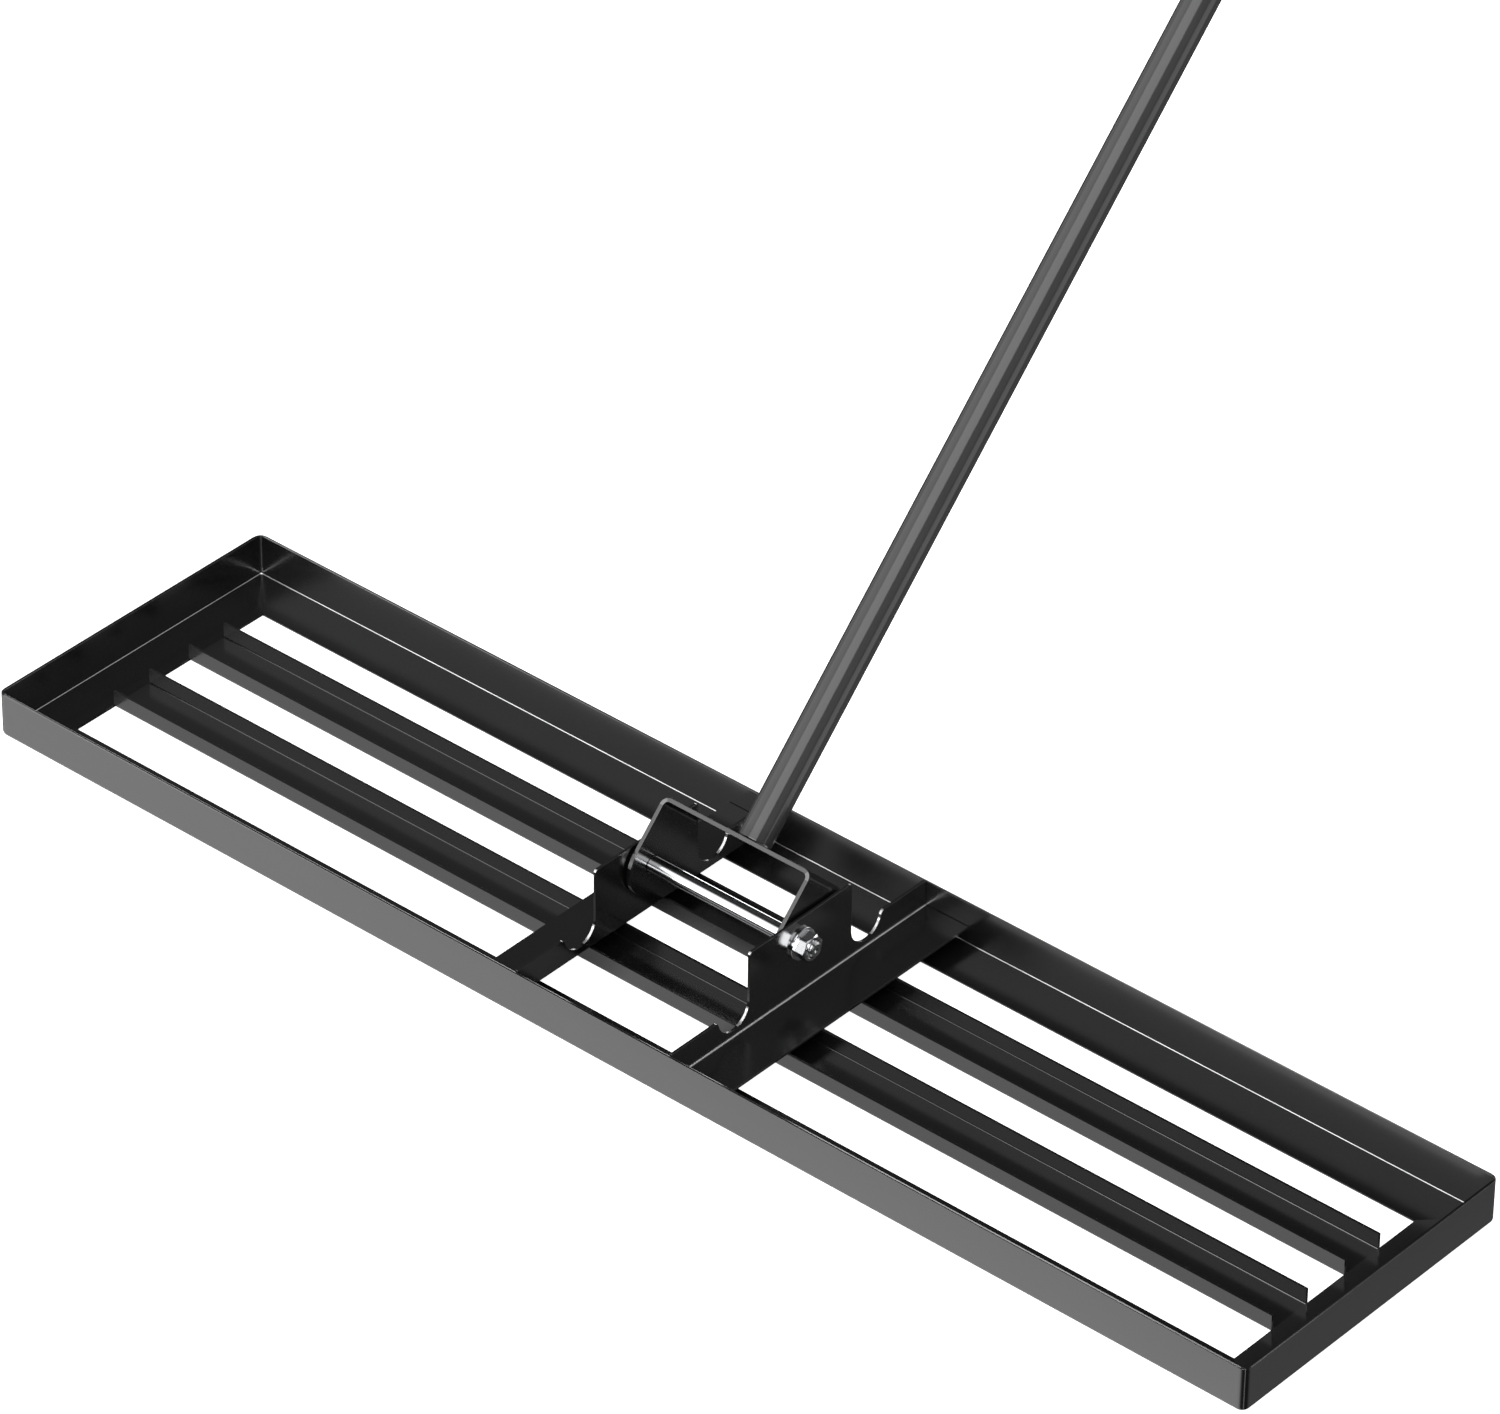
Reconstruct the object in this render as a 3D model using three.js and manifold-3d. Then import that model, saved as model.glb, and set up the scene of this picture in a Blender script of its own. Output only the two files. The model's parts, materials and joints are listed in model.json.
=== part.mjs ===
// A lawn leveling rake: a shallow open tray of folded sheet steel, dragged by a long tube handle
// that swings on a bolt through two ears.
// Millimetres. +X runs along the tray, +Y away from the user's front edge, +Z up.
// The origin is on the ground, at the middle of the front slat's underside.
import * as THREE from "three";
import { mergeVertices } from "three/addons/utils/BufferGeometryUtils.js";
import Module from "manifold-3d";

const wasm = await Module();
wasm.setup();

// Sheet metal
const SHEET = 2;
const BEND_INSIDE = 1; // inner radius of every fold
const BEND_OUTSIDE = BEND_INSIDE + SHEET;
const SEAM = 0.3; // gap left at a mitred or welded joint

// Tray
const TRAY_LENGTH = 1066.8;
const TRAY_DEPTH = 254;
const WALL_HEIGHT = 33.5;
const CORNER_RADIUS = 6;
const CORNER_INSIDE = 2; // the upright corners are nearly sharp inside
const STRIPS = 7; // flange, slot, slat, slot, slat, slot, flange: all one width
const PITCH = TRAY_DEPTH / STRIPS;
const WINDOW_LENGTH = TRAY_LENGTH - 2 * PITCH;
const WINDOW_DEPTH = TRAY_DEPTH - 2 * PITCH;

// Slats
const SLAT_HEIGHT = 13.4;
const SLAT_CENTRE = PITCH;

// Cross-members
const LEG_SPACING = 130; // between the inner faces of the two legs
const FLANGE_REACH = 38.2; // from the leg's inner face to the flange's free edge
const LEG_TOP = 35;
const EAR_TOP = 73.6;
const EAR_WIDTH = 100;
const EAR_CORNER = 2.5;
const NOTCH_RADIUS = 15;
const NOTCH_BOTTOM = 20.4;
const LEG_CORNER = 4; // round at each leg's end of the notch

// Pivot
const PIVOT_Z = 54;
const BOLT_DIAMETER = 12;
const BOLT_HOLE = 12.9;
const WASHER_DIAMETER = 23.5;
const WASHER_THICKNESS = 2.2;
const HEX_ACROSS_FLATS = 17.6;
const HEX_TURN = THREE.MathUtils.degToRad(34); // from one corner pointing straight up
const HEX_CHAMFER = THREE.MathUtils.degToRad(30);
const HEAD_HEIGHT = 7.5;
const NUT_HEIGHT = 8;
const BOLT_END = 2.8; // how far the bolt stands out of its nut
const BOLT_CHAMFER = 1.2;

// Yoke
const YOKE_ANGLE = THREE.MathUtils.degToRad(45.35); // of the handle above the ground
const YOKE_SHEET = 3;
const YOKE_WIDTH = 126.8; // over both arms
const YOKE_STRIP = 44.4; // width of the strip, and of its round ends
const YOKE_REACH = 43.2; // from the pivot to the web's outer face
const YOKE_BEND = 6.5; // outer radius of its two folds

// Handle
const TUBE_DIAMETER = 24;
const TUBE_WALL = 0.9;
const SECTION_LENGTH = 750;
const INSERT_LENGTH = 36; // of each plug pressed into a tube's end
const INSERT_GAP = 0.15;
const STUD_DIAMETER = 12;
const STUD_LENGTH = 30;
const STUD_GAP = 0.25;
const GRIP_LENGTH = 270;
const GRIP_DIAMETER = 33;
const GRIP_END = 5; // rubber across the tube's end
const GRIP_COLLAR = 38; // diameter of the bead at the grip's lower end
const GRIP_COLLAR_WIDTH = 6;
const GRIP_COLLAR_ROUND = 1;
const GRIP_ROUND = 4; // at the closed top

// Smoothness
const ROUND_STEPS = 48; // around a full turn
const BEND_STEPS = 3; // half the steps along one fold
const OUTLINE_STEPS = 8; // half the steps along one round of a flat outline
const MARGIN = 1; // how far a cutting shape stands past what it cuts

const TURN = 2 * Math.PI;
const QUARTER = Math.PI / 2;

const steel = { color: 0x1b1c1e, roughness: 0.28, metalness: 0.2 };
const zinc = { color: 0xd9dadc, roughness: 0.16, metalness: 1 };
const tubeSteel = { color: 0x2b2c2e, roughness: 0.38, metalness: 0.2 };
const rubber = { color: 0x141414, roughness: 0.8, metalness: 0 };

// Turns a closed three.js geometry into a solid that can be cut and joined.
function solidOf(geometry) {
  const bare = geometry.clone();
  bare.deleteAttribute("normal");
  bare.deleteAttribute("uv");
  const merged = mergeVertices(bare, 1e-4);
  return new wasm.Manifold(
    new wasm.Mesh({
      numProp: 3,
      vertProperties: new Float32Array(merged.attributes.position.array),
      triVerts: new Uint32Array(merged.index.array),
    }),
  );
}

function geometryOf(solid) {
  const cut = solid.getMesh();
  const geometry = new THREE.BufferGeometry();
  geometry.setAttribute("position", new THREE.BufferAttribute(cut.vertProperties, 3));
  geometry.setIndex(new THREE.BufferAttribute(cut.triVerts, 1));
  const flat = geometry.toNonIndexed();
  flat.computeVertexNormals();
  return flat;
}

function named(name, solid, look) {
  const mesh = new THREE.Mesh(geometryOf(solid), new THREE.MeshStandardMaterial(look));
  mesh.name = name;
  return mesh;
}

function prism(shape, depth, steps) {
  return new THREE.ExtrudeGeometry(shape, { depth, bevelEnabled: false, curveSegments: steps });
}

// Outline drawn in (Y, Z), pushed along X from one place to another.
function alongX(shape, from, to, steps) {
  return prism(shape, to - from, steps)
    .rotateZ(QUARTER)
    .rotateY(QUARTER)
    .translate(from, 0, 0);
}

// Outline drawn in (X, Z), pushed along Y over a centred length.
function alongY(shape, length, steps) {
  return prism(shape, length, steps)
    .rotateX(QUARTER)
    .translate(0, length / 2, 0);
}

// Profile of [radius, position] points, turned about the X axis.
function turnedAboutX(profile) {
  const points = profile.map(([radius, along]) => new THREE.Vector2(radius, along));
  return new THREE.LatheGeometry(points, ROUND_STEPS).rotateZ(-QUARTER);
}

function polygon(points) {
  return new THREE.Shape(points.map(([x, y]) => new THREE.Vector2(x, y)));
}

function roundedRectangle(width, height, radius) {
  const x = width / 2;
  const y = height / 2;
  const shape = new THREE.Shape();
  shape.absarc(x - radius, y - radius, radius, 0, QUARTER);
  shape.absarc(radius - x, y - radius, radius, QUARTER, 2 * QUARTER);
  shape.absarc(radius - x, radius - y, radius, 2 * QUARTER, 3 * QUARTER);
  shape.absarc(x - radius, radius - y, radius, 3 * QUARTER, TURN);
  shape.closePath();
  return shape;
}

// A block with rounded upright corners and a rounded bottom edge, standing on z = bottom.
function pressedBlock(length, depth, corner, edge, bottom) {
  const block = new THREE.ExtrudeGeometry(roundedRectangle(length, depth, corner), {
    depth: WALL_HEIGHT,
    bevelThickness: edge,
    bevelSize: edge,
    bevelOffset: -edge,
    bevelSegments: BEND_STEPS,
    curveSegments: BEND_STEPS,
  });
  return solidOf(block.translate(0, 0, bottom + edge));
}

// The four rails are one pressed frame cut along its mitres.
function rails() {
  const outside = pressedBlock(TRAY_LENGTH, TRAY_DEPTH, CORNER_RADIUS, BEND_OUTSIDE, 0);
  const inside = pressedBlock(
    TRAY_LENGTH - 2 * SHEET,
    TRAY_DEPTH - 2 * SHEET,
    CORNER_INSIDE,
    BEND_INSIDE,
    SHEET,
  );
  const window = new THREE.BoxGeometry(WINDOW_LENGTH, WINDOW_DEPTH, WALL_HEIGHT);
  const below = new THREE.BoxGeometry(2 * TRAY_LENGTH, 2 * TRAY_DEPTH, WALL_HEIGHT);
  const frame = outside
    .subtract(inside)
    .subtract(solidOf(window))
    .intersect(solidOf(below.translate(0, 0, WALL_HEIGHT / 2)));

  const x = TRAY_LENGTH / 2;
  const y = TRAY_DEPTH / 2;
  const ridge = x - y; // where the two mitres of one end would meet
  const longWedge = polygon([
    [-x, -y],
    [x, -y],
    [ridge, 0],
    [-ridge, 0],
  ]);
  const endWedge = polygon([
    [x + SEAM, -y],
    [x + SEAM, y],
    [ridge + SEAM, 0],
  ]);
  const cut = (wedge, turn) => {
    const tool = prism(wedge, 2 * WALL_HEIGHT, 1).translate(0, 0, -WALL_HEIGHT / 2);
    return frame.intersect(solidOf(tool.rotateZ(turn)));
  };
  return [
    named("front_rail", cut(longWedge, 0), steel),
    named("back_rail", cut(longWedge, Math.PI), steel),
    named("right_rail", cut(endWedge, 0), steel),
    named("left_rail", cut(endWedge, Math.PI), steel),
  ];
}

// Shallow channel with its two walls turned up, butt-jointed between the end rails.
function slat(name, y) {
  const half = PITCH / 2;
  const turn = half - BEND_OUTSIDE;
  const shape = new THREE.Shape();
  shape.moveTo(SHEET - half, SLAT_HEIGHT);
  shape.lineTo(-half, SLAT_HEIGHT);
  shape.absarc(-turn, BEND_OUTSIDE, BEND_OUTSIDE, 2 * QUARTER, 3 * QUARTER);
  shape.absarc(turn, BEND_OUTSIDE, BEND_OUTSIDE, 3 * QUARTER, TURN);
  shape.lineTo(half, SLAT_HEIGHT);
  shape.lineTo(half - SHEET, SLAT_HEIGHT);
  shape.absarc(turn, BEND_OUTSIDE, BEND_INSIDE, 0, -QUARTER, true);
  shape.absarc(-turn, BEND_OUTSIDE, BEND_INSIDE, -QUARTER, -2 * QUARTER, true);
  shape.closePath();
  const end = WINDOW_LENGTH / 2;
  const channel = alongX(shape, -end, end, BEND_STEPS).translate(0, y, 0);
  return named(name, solidOf(channel), steel);
}

// Outline of a cross-member's leg and ear in (Y, Z), with a round notch each side of the ear.
function legOutline() {
  const end = TRAY_DEPTH / 2 - SHEET - SEAM;
  const ear = EAR_WIDTH / 2;
  const notchY = ear + NOTCH_RADIUS;
  const notchZ = NOTCH_BOTTOM + NOTCH_RADIUS;
  const cornerZ = LEG_TOP - LEG_CORNER;
  const apart = NOTCH_RADIUS + LEG_CORNER; // between the centres of the notch and the corner
  const tilt = Math.asin((notchZ - cornerZ) / apart);
  const cornerY = notchY + apart * Math.cos(tilt);
  const roundY = ear - EAR_CORNER;
  const roundZ = EAR_TOP - EAR_CORNER;
  const shape = new THREE.Shape();
  shape.moveTo(-end, 0);
  shape.lineTo(end, 0);
  shape.lineTo(end, LEG_TOP);
  shape.absarc(cornerY, cornerZ, LEG_CORNER, QUARTER, 2 * QUARTER - tilt);
  shape.absarc(notchY, notchZ, NOTCH_RADIUS, -tilt, -2 * QUARTER, true);
  shape.absarc(roundY, roundZ, EAR_CORNER, 0, QUARTER);
  shape.absarc(-roundY, roundZ, EAR_CORNER, QUARTER, 2 * QUARTER);
  shape.absarc(-notchY, notchZ, NOTCH_RADIUS, 0, tilt - 2 * QUARTER, true);
  shape.absarc(-cornerY, cornerZ, LEG_CORNER, tilt, QUARTER);
  shape.lineTo(-end, LEG_TOP);
  shape.closePath();
  return shape;
}

function roundHole(diameter, from, to, z) {
  const length = to - from;
  const drill = new THREE.CylinderGeometry(diameter / 2, diameter / 2, length, ROUND_STEPS);
  return solidOf(drill.rotateZ(QUARTER).translate(from + length / 2, 0, z));
}

// Angle across the tray, flange outwards, standing on the slats: the leg carries the pivot's ear.
function crossmember(name, turn) {
  const inner = LEG_SPACING / 2;
  const profile = new THREE.Shape();
  const foldX = inner + BEND_OUTSIDE;
  const foldZ = SLAT_HEIGHT + BEND_OUTSIDE;
  profile.moveTo(inner + SHEET, EAR_TOP);
  profile.lineTo(inner, EAR_TOP);
  profile.absarc(foldX, foldZ, BEND_OUTSIDE, 2 * QUARTER, 3 * QUARTER);
  profile.lineTo(inner + FLANGE_REACH, SLAT_HEIGHT);
  profile.lineTo(inner + FLANGE_REACH, SLAT_HEIGHT + SHEET);
  profile.absarc(foldX, foldZ, BEND_INSIDE, -QUARTER, -2 * QUARTER, true);
  profile.closePath();
  const angle = alongY(profile, TRAY_DEPTH - 2 * SHEET - 2 * SEAM, BEND_STEPS);
  const outline = alongX(legOutline(), inner - SHEET, inner + FLANGE_REACH + SHEET, OUTLINE_STEPS);
  const hole = roundHole(BOLT_HOLE, inner - SHEET, foldX + SHEET, PIVOT_Z);
  const leg = solidOf(angle).intersect(solidOf(outline)).subtract(hole);
  const mesh = named(name, leg, steel);
  mesh.rotation.z = turn;
  return mesh;
}

// Six-sided block on the right washer, with the corners of its far end turned off.
// A half turn about Z carries it to the left washer.
function hexagon(seat, height, halfTurn) {
  const flat = HEX_ACROSS_FLATS / 2;
  const corner = flat / Math.cos(Math.PI / 6);
  const outside = corner + MARGIN;
  const top = seat + height;
  const bar = new THREE.CylinderGeometry(corner, corner, height, 6)
    .rotateZ(QUARTER)
    .rotateX(HEX_TURN)
    .translate(seat + height / 2, 0, 0);
  const cone = turnedAboutX([
    [0, seat],
    [outside, seat],
    [outside, top - (outside - flat) * Math.tan(HEX_CHAMFER)],
    [flat, top],
    [0, top],
  ]);
  return solidOf(bar.rotateZ(halfTurn)).intersect(solidOf(cone.rotateZ(halfTurn)));
}

function pivotHardware() {
  const earFace = LEG_SPACING / 2 + SHEET;
  const seat = earFace + WASHER_THICKNESS;
  const radius = BOLT_DIAMETER / 2;
  const tip = seat + NUT_HEIGHT + BOLT_END;
  const shank = turnedAboutX([
    [0, -seat - MARGIN],
    [radius, -seat - MARGIN],
    [radius, tip - BOLT_CHAMFER],
    [radius - BOLT_CHAMFER, tip],
    [0, tip],
  ]);
  const bore = roundHole(BOLT_DIAMETER + 2 * INSERT_GAP, -tip, tip, 0);
  const disc = new THREE.CylinderGeometry(
    WASHER_DIAMETER / 2,
    WASHER_DIAMETER / 2,
    WASHER_THICKNESS,
    ROUND_STEPS,
  );
  const washer = (centre) =>
    solidOf(disc.clone().rotateZ(QUARTER).translate(centre, 0, 0)).subtract(bore);
  const middle = earFace + WASHER_THICKNESS / 2;
  const group = new THREE.Group();
  group.add(
    named("pivot_bolt", hexagon(seat, HEAD_HEIGHT, Math.PI).add(solidOf(shank)), zinc),
    named("left_washer", washer(-middle), zinc),
    named("right_washer", washer(middle), zinc),
    named("pivot_nut", hexagon(seat, NUT_HEIGHT, 0).subtract(bore), zinc),
  );
  group.position.z = PIVOT_Z;
  return group;
}

// The yoke and handle are drawn with the handle lying along +Y from the pivot, then raised.
function yoke() {
  const arm = YOKE_WIDTH / 2;
  const fold = YOKE_REACH - YOKE_BEND;
  const inside = YOKE_BEND - YOKE_SHEET;
  const half = YOKE_STRIP / 2;
  const strap = new THREE.Shape();
  strap.moveTo(arm - YOKE_SHEET, -half);
  strap.lineTo(arm, -half);
  strap.absarc(arm - YOKE_BEND, fold, YOKE_BEND, 0, QUARTER);
  strap.absarc(YOKE_BEND - arm, fold, YOKE_BEND, QUARTER, 2 * QUARTER);
  strap.lineTo(-arm, -half);
  strap.lineTo(YOKE_SHEET - arm, -half);
  strap.absarc(YOKE_BEND - arm, fold, inside, 2 * QUARTER, QUARTER, true);
  strap.absarc(arm - YOKE_BEND, fold, inside, QUARTER, 0, true);
  strap.closePath();
  const bent = prism(strap, YOKE_STRIP, BEND_STEPS).translate(0, 0, -half);

  const side = new THREE.Shape();
  side.moveTo(YOKE_REACH, -half);
  side.lineTo(YOKE_REACH, half);
  side.absarc(0, 0, half, QUARTER, 3 * QUARTER);
  side.closePath();
  const outline = alongX(side, -arm, arm, OUTLINE_STEPS);
  const hole = roundHole(BOLT_HOLE, -arm - MARGIN, arm + MARGIN, 0);
  return named("yoke", solidOf(bent).intersect(solidOf(outline)).subtract(hole), steel);
}

// Points of (radius, position), turned about the handle's axis.
function turnedAlongHandle(points) {
  return solidOf(new THREE.LatheGeometry(points, ROUND_STEPS));
}

function sleeve(inner, outer, from, to) {
  return turnedAlongHandle([
    new THREE.Vector2(inner, from),
    new THREE.Vector2(outer, from),
    new THREE.Vector2(outer, to),
    new THREE.Vector2(inner, to),
    new THREE.Vector2(inner, from),
  ]);
}

function tube(name, from, to) {
  const outer = TUBE_DIAMETER / 2;
  return named(name, sleeve(outer - TUBE_WALL, outer, from, to), tubeSteel);
}

// Two plugs inside the tubes' ends hold the sections together: a socket below, a stud above.
function coupling(joint) {
  const radius = TUBE_DIAMETER / 2 - TUBE_WALL - INSERT_GAP;
  const stud = STUD_DIAMETER / 2;
  const socket = sleeve(stud + STUD_GAP, radius, joint - INSERT_LENGTH, joint - SEAM);
  const plug = turnedAlongHandle([
    new THREE.Vector2(0, joint - STUD_LENGTH),
    new THREE.Vector2(stud, joint - STUD_LENGTH),
    new THREE.Vector2(stud, joint),
    new THREE.Vector2(radius, joint),
    new THREE.Vector2(radius, joint + INSERT_LENGTH),
    new THREE.Vector2(0, joint + INSERT_LENGTH),
  ]);
  return [named("coupling_socket", socket, zinc), named("coupling_stud", plug, zinc)];
}

// Rubber sleeve with a bead at its lower end and a closed, rounded top.
function grip(tubeEnd) {
  const bore = TUBE_DIAMETER / 2 + INSERT_GAP;
  const outer = GRIP_DIAMETER / 2;
  const start = tubeEnd - GRIP_LENGTH;
  const top = tubeEnd + GRIP_END;
  const round = GRIP_COLLAR_ROUND;
  const collarEdge = GRIP_COLLAR / 2 - round;
  const collarTop = start + GRIP_COLLAR_WIDTH;
  const profile = new THREE.Path();
  profile.moveTo(0, tubeEnd + SEAM);
  profile.lineTo(bore, tubeEnd + SEAM);
  profile.lineTo(bore, start);
  profile.absarc(collarEdge, start + round, round, -QUARTER, 0);
  profile.absarc(collarEdge, collarTop - round, round, 0, QUARTER);
  profile.lineTo(outer, collarTop);
  profile.absarc(outer - GRIP_ROUND, top - GRIP_ROUND, GRIP_ROUND, 0, QUARTER);
  profile.lineTo(0, top);
  return named("grip", turnedAlongHandle(profile.getPoints(BEND_STEPS)), rubber);
}

function handle() {
  const foot = YOKE_REACH + SEAM;
  const joint = foot + SECTION_LENGTH;
  const end = joint + SECTION_LENGTH;
  const group = new THREE.Group();
  group.add(
    yoke(),
    tube("handle_lower", foot, joint - SEAM / 2),
    tube("handle_upper", joint + SEAM / 2, end),
    ...coupling(joint),
    grip(end),
  );
  group.position.z = PIVOT_Z;
  group.rotation.x = YOKE_ANGLE;
  return group;
}

const rake = new THREE.Group();
rake.add(
  ...rails(),
  slat("front_slat", -SLAT_CENTRE),
  slat("rear_slat", SLAT_CENTRE),
  crossmember("right_crossmember", 0),
  crossmember("left_crossmember", Math.PI),
  pivotHardware(),
  handle(),
);
rake.position.y = SLAT_CENTRE;

const part = new THREE.Group();
part.add(rake);

export default part;
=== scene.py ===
"""A lawn leveling rake: a shallow tray of folded black steel, dragged by a tube handle on a bolted yoke.

Lengths are in metres and angles in radians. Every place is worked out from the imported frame's boxes.
"""

import json
import math

import bmesh
import bpy
from mathutils import Matrix, Vector


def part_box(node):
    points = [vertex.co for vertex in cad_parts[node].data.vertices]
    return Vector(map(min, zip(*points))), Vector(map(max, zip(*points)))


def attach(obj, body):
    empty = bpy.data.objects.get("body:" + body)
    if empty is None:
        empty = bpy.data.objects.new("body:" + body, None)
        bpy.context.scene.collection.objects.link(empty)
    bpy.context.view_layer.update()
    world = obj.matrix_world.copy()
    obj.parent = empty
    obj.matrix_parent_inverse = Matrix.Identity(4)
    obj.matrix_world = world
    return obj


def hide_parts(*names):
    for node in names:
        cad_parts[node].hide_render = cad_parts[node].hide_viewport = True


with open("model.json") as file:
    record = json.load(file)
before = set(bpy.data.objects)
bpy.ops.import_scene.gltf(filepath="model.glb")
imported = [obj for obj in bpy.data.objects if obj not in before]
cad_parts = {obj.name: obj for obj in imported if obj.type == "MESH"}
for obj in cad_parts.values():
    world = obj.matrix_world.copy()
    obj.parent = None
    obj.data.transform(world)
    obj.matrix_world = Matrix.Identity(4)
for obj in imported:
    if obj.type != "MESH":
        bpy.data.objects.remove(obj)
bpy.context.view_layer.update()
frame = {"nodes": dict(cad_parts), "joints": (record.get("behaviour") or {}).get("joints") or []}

MM = 0.001
TURN = 2 * math.pi
QUARTER = math.pi / 2


# ---------------------------------------------------------------- sizes read from the frame


def low(node):
    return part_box(node)[0]


def high(node):
    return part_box(node)[1]


def box_middle(node):
    return (low(node) + high(node)) / 2


TRAY_CENTRE_Y = (low("front_rail").y + high("back_rail").y) / 2
HALF_LENGTH = high("right_rail").x
HALF_DEPTH = (high("back_rail").y - low("front_rail").y) / 2
WALL_HEIGHT = high("front_rail").z
STRIP = high("front_slat").y - low("front_slat").y
SLAT_HEIGHT = high("front_slat").z

LEG_X = low("right_crossmember").x
SHEET = low("right_washer").x - LEG_X
FOLD_INSIDE = SHEET / 2
FOLD_OUTSIDE = FOLD_INSIDE + SHEET
FOLD_MIDDLE = FOLD_INSIDE + SHEET / 2
CORNER_RADIUS = 6 * MM
CORNER_INSIDE = 2 * MM

PIVOT = Vector(frame["joints"][0]["pos_m"])
HANDLE_AXIS = (box_middle("handle_upper") - box_middle("handle_lower")).normalized()
HANDLE_ANGLE = math.asin(HANDLE_AXIS.z)
TUBE_RADIUS = (high("handle_lower").x - low("handle_lower").x) / 2


def along_handle(node):
    """How far from the pivot a round piece of the handle starts and ends."""
    half_width = (high(node).x - low(node).x) / 2
    span = high(node).y - low(node).y
    length = (span - 2 * half_width * math.sin(HANDLE_ANGLE)) / math.cos(HANDLE_ANGLE)
    middle = (box_middle(node) - PIVOT).dot(HANDLE_AXIS)
    return middle - length / 2, middle + length / 2


# ---------------------------------------------------------------- materials

# The mesh attribute that says how strong the painted highlight is, from 0 to 1.
PAINTED_HIGHLIGHT = "paint_highlight"
# Colour of the painted highlight: bright metallic grey.
HIGHLIGHT_GREY = (0.97, 0.97, 0.98)


def node_material(name):
    material = bpy.data.materials.new(name)
    material.use_nodes = True
    tree = material.node_tree
    shader = tree.nodes["Principled BSDF"]
    coordinates = tree.nodes.new("ShaderNodeTexCoord")
    return material, tree, shader, coordinates.outputs["Object"]


def noise(tree, coordinates, scale, detail, stretch=(1, 1, 1)):
    mapping = tree.nodes.new("ShaderNodeMapping")
    mapping.inputs["Scale"].default_value = stretch
    texture = tree.nodes.new("ShaderNodeTexNoise")
    texture.inputs["Scale"].default_value = scale
    texture.inputs["Detail"].default_value = detail
    tree.links.new(coordinates, mapping.inputs["Vector"])
    tree.links.new(mapping.outputs["Vector"], texture.inputs["Vector"])
    return texture.outputs["Fac"]


def ranged(tree, value, lowest, highest):
    spread = tree.nodes.new("ShaderNodeMapRange")
    spread.inputs["To Min"].default_value = lowest
    spread.inputs["To Max"].default_value = highest
    tree.links.new(value, spread.inputs["Value"])
    return spread.outputs["Result"]


def blended(tree, value, dark, light):
    ramp = tree.nodes.new("ShaderNodeValToRGB")
    ramp.color_ramp.elements[0].color = (*dark, 1)
    ramp.color_ramp.elements[1].color = (*light, 1)
    tree.links.new(value, ramp.inputs["Fac"])
    return ramp.outputs["Color"]


def bump(tree, value, distance, strength, under=None):
    texture = tree.nodes.new("ShaderNodeBump")
    texture.inputs["Distance"].default_value = distance
    texture.inputs["Strength"].default_value = strength
    tree.links.new(value, texture.inputs["Height"])
    if under:
        tree.links.new(under, texture.inputs["Normal"])
    return texture.outputs["Normal"]


def mix_painted_highlight(tree, shader, place, paint):
    """Painted highlight: bright metallic grey is mixed into the paint as far as the mesh attribute says, in
    patches.
    """
    highlight_amount = tree.nodes.new("ShaderNodeAttribute")
    highlight_amount.attribute_name = PAINTED_HIGHLIGHT
    highlight_patches = ranged(tree, noise(tree, place, 70, 2), 0.75, 1.25)
    patchy = tree.nodes.new("ShaderNodeMath")
    patchy.operation = "MULTIPLY"
    tree.links.new(highlight_amount.outputs["Fac"], patchy.inputs[0])
    tree.links.new(highlight_patches, patchy.inputs[1])
    colour = tree.nodes.new("ShaderNodeMix")
    colour.data_type = "RGBA"
    colour.inputs["B"].default_value = (*HIGHLIGHT_GREY, 1)
    tree.links.new(patchy.outputs["Value"], colour.inputs["Factor"])
    tree.links.new(paint, colour.inputs["A"])
    tree.links.new(colour.outputs["Result"], shader.inputs["Base Color"])
    tree.links.new(patchy.outputs["Value"], shader.inputs["Metallic"])


def powder_coat(name, dark, light, smoothest, roughest, index):
    """Gloss black coat: faint orange peel, a slow drift in gloss, and the sheet's own gentle waves.

    It carries a painted highlight of bright metallic grey along the inside of the folds and a little on the
    cut edges.
    """
    material, tree, shader, place = node_material(name)
    tone = noise(tree, place, 30, 3)
    gloss = noise(tree, place, 9, 2)
    waves = bump(tree, noise(tree, place, 16, 1), 0.5 * MM, 0.6)
    peel = bump(tree, noise(tree, place, 420, 2), 0.008 * MM, 0.5, waves)
    mix_painted_highlight(tree, shader, place, blended(tree, tone, (dark,) * 3, (light,) * 3))
    tree.links.new(ranged(tree, gloss, smoothest, roughest), shader.inputs["Roughness"])
    shader.inputs["IOR"].default_value = index
    tree.links.new(peel, shader.inputs["Normal"])
    return material


def zinc_plate(name):
    """Bright plated steel with fine turning marks."""
    material, tree, shader, place = node_material(name)
    tone = noise(tree, place, 120, 2)
    marks = noise(tree, place, 900, 2, (4, 1, 1))
    tree.links.new(
        blended(tree, tone, (0.72, 0.73, 0.75), (0.84, 0.85, 0.86)), shader.inputs["Base Color"]
    )
    tree.links.new(ranged(tree, marks, 0.1, 0.2), shader.inputs["Roughness"])
    shader.inputs["Metallic"].default_value = 1
    tree.links.new(bump(tree, marks, 0.004 * MM, 0.3), shader.inputs["Normal"])
    return material


def grip_rubber(name):
    """Matte rubber with a fine moulded grain."""
    material, tree, shader, place = node_material(name)
    tone = noise(tree, place, 60, 3)
    grain = noise(tree, place, 1500, 2)
    tree.links.new(
        blended(tree, tone, (0.012, 0.012, 0.012), (0.022, 0.022, 0.023)), shader.inputs["Base Color"]
    )
    tree.links.new(ranged(tree, grain, 0.55, 0.75), shader.inputs["Roughness"])
    tree.links.new(bump(tree, grain, 0.08 * MM, 0.4), shader.inputs["Normal"])
    return material


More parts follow.
